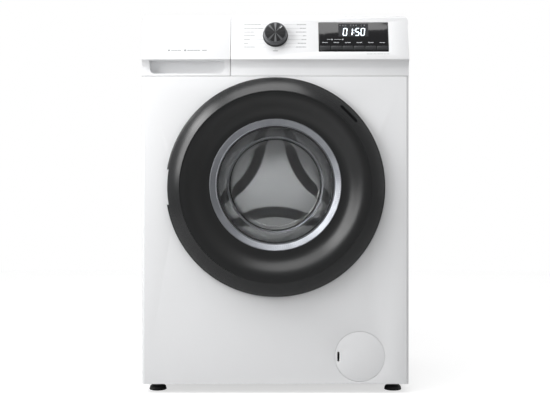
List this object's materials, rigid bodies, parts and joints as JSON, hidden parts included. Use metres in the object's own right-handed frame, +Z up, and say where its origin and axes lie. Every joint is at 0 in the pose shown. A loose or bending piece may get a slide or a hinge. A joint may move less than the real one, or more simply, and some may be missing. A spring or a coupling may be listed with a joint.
{
  "type": "front load washing machine",
  "caption": "Freestanding front loading washing machine with a round dark door, a glass bowl, a detergent drawer, a rotary selector and a key row under a display.",
  "frame": {"origin": "on the floor, at the middle of the machine's bounding box", "axes": "+Z up, the door and controls face -Y, +X is to the right as seen from the front"},
  "size_m": [0.595, 0.585, 0.845],
  "materials": {
    "white_enamel": "satin",
    "white_plastic": "gloss",
    "dark_ring": "satin metallic",
    "dark_cowl": "satin",
    "glass": "clear",
    "drum_steel": "satin",
    "galvanised": "matte",
    "steel": "satin",
    "black_plastic": "matte",
    "grey_plastic": "matte",
    "tub_plastic": "matte",
    "window_black": "gloss",
    "key_grey": "satin",
    "knob_dark": "satin metallic",
    "knob_grey": "satin metallic",
    "rubber_grey": "matte",
    "rubber_black": "matte",
    "concrete": "rough",
    "aluminium": "cast",
    "white_laminate": "satin laminate",
    "lifter_grey": "satin",
    "board_green": "satin",
    "blue_plastic": "satin"
  },
  "bodies": {
    "cabinet": {"cabinet_wrap": "white_enamel", "front_panel": "white_enamel", "base_tray": "galvanised", "levelling_feet": "rubber_black", "foot_lock_nuts": "steel", "worktop": "white_laminate", "top_frame": "galvanised", "rear_access_cover": "galvanised", "cabinet_screws": "steel", "control_fascia": "white_plastic", "display_window": "window_black", "display_module": "board_green", "dispenser_housing": "tub_plastic", "inlet_valve": "blue_plastic", "fixed_hoses": "rubber_black", "power_inlet": "black_plastic", "drain_spigot": "grey_plastic", "drain_pump": "grey_plastic", "flap_frame": "white_plastic", "damper_cylinders": "grey_plastic", "door_gasket": "rubber_grey", "hinge_bracket": "steel", "hinge_pin": "steel", "door_lock": "black_plastic"},
    "door": {"door_outer_ring": "dark_ring", "grip_slot_insert": "black_plastic", "door_cowl": "dark_cowl", "door_glass": "glass", "door_inner_frame": "tub_plastic", "hinge_leaf": "steel"},
    "latch": {"latch_hook": "steel"},
    "drawer": {"drawer_front": "white_plastic", "detergent_tray": "tub_plastic"},
    "knob": {"knob_skirt": "knob_grey", "knob_cap": "knob_dark"},
    "flap": {"service_flap": "white_plastic"},
    "filter": {"pump_filter": "blue_plastic"},
    "tub": {"tub_rear_half": "tub_plastic", "tub_front_half": "tub_plastic", "front_counterweight": "concrete", "top_counterweight": "concrete", "drum_bearings": "steel", "heater": "steel", "motor_body": "aluminium", "drive_belt": "rubber_black", "damper_rods": "steel", "suspension_springs": "steel", "tub_hoses": "rubber_black"},
    "drum": {"drum_shell": "drum_steel", "drum_back": "drum_steel", "drum_lifters": "lifter_grey", "drum_spider": "aluminium", "drum_pulley": "aluminium"},
    "rotor": {"motor_pulley": "steel"},
    "temperature_button": {"temperature_key": "key_grey"},
    "spin_button": {"spin_key": "key_grey"},
    "extra_rinse_button": {"extra_rinse_key": "key_grey"},
    "delay_button": {"delay_key": "key_grey"},
    "options_button": {"options_key": "key_grey"},
    "start_pause_button": {"start_pause_key": "key_grey"}
  },
  "joints": [
    {"name": "door_hinge", "type": "hinge", "parent": "cabinet", "child": "door", "pos_m": [-0.23, -0.269, 0.46], "axis": [0, 0, -1], "range_deg": [0, 110]},
    {"name": "latch_hook_pivot", "type": "hinge", "parent": "door", "child": "latch", "pos_m": [0.196, -0.266, 0.46], "axis": [0, 0, 1], "range_deg": [0, 5], "stiffness_Nm_per_rad": 0.5, "springref_deg": -5.73},
    {"name": "drawer_slide", "type": "slide", "parent": "cabinet", "child": "drawer", "axis": [0, -1, 0], "range_m": [0, 0.2]},
    {"name": "programme_selector", "type": "hinge", "parent": "cabinet", "child": "knob", "pos_m": [0, -0.24425, 0.79853], "axis": [0, -0.9483, 0.3173], "continuous": true},
    {"name": "temperature_press", "type": "slide", "parent": "cabinet", "child": "temperature_button", "axis": [0, 0.9483, -0.3173], "range_m": [0, 0.0015], "stiffness_N_per_m": 800, "springref_m": -0.0005},
    {"name": "spin_press", "type": "slide", "parent": "cabinet", "child": "spin_button", "axis": [0, 0.9483, -0.3173], "range_m": [0, 0.0015], "stiffness_N_per_m": 800, "springref_m": -0.0005},
    {"name": "extra_rinse_press", "type": "slide", "parent": "cabinet", "child": "extra_rinse_button", "axis": [0, 0.9483, -0.3173], "range_m": [0, 0.0015], "stiffness_N_per_m": 800, "springref_m": -0.0005},
    {"name": "delay_press", "type": "slide", "parent": "cabinet", "child": "delay_button", "axis": [0, 0.9483, -0.3173], "range_m": [0, 0.0015], "stiffness_N_per_m": 800, "springref_m": -0.0005},
    {"name": "options_press", "type": "slide", "parent": "cabinet", "child": "options_button", "axis": [0, 0.9483, -0.3173], "range_m": [0, 0.0015], "stiffness_N_per_m": 800, "springref_m": -0.0005},
    {"name": "start_pause_press", "type": "slide", "parent": "cabinet", "child": "start_pause_button", "axis": [0, 0.9483, -0.3173], "range_m": [0, 0.0015], "stiffness_N_per_m": 800, "springref_m": -0.0005},
    {"name": "service_flap_hinge", "type": "hinge", "parent": "cabinet", "child": "flap", "pos_m": [0.2437, -0.2548, 0.0823], "axis": [0, 0, 1], "range_deg": [0, 100]},
    {"name": "pump_filter_turn", "type": "hinge", "parent": "cabinet", "child": "filter", "pos_m": [0.188, -0.24, 0.0823], "axis": [0, -1, 0], "range_deg": [0, 90]},
    {"name": "tub_bounce", "type": "slide", "parent": "cabinet", "child": "tub", "axis": [0, 0, 1], "range_m": [-0.008, 0.008], "stiffness_N_per_m": 50000, "springref_m": 0.0073, "deforming": ["tub_hoses", "suspension_springs", "door_gasket"]},
    {"name": "drum_spin", "type": "hinge", "parent": "tub", "child": "drum", "pos_m": [0, 0.2, 0.465], "axis": [0, -1, 0], "continuous": true},
    {"name": "motor_spin", "type": "hinge", "parent": "tub", "child": "rotor", "pos_m": [0, 0.2, 0.13], "axis": [0, -1, 0], "continuous": true}
  ],
  "couplings": [
    {"joint": "motor_spin", "follows": "drum_spin", "ratio": 12.727}
  ]
}
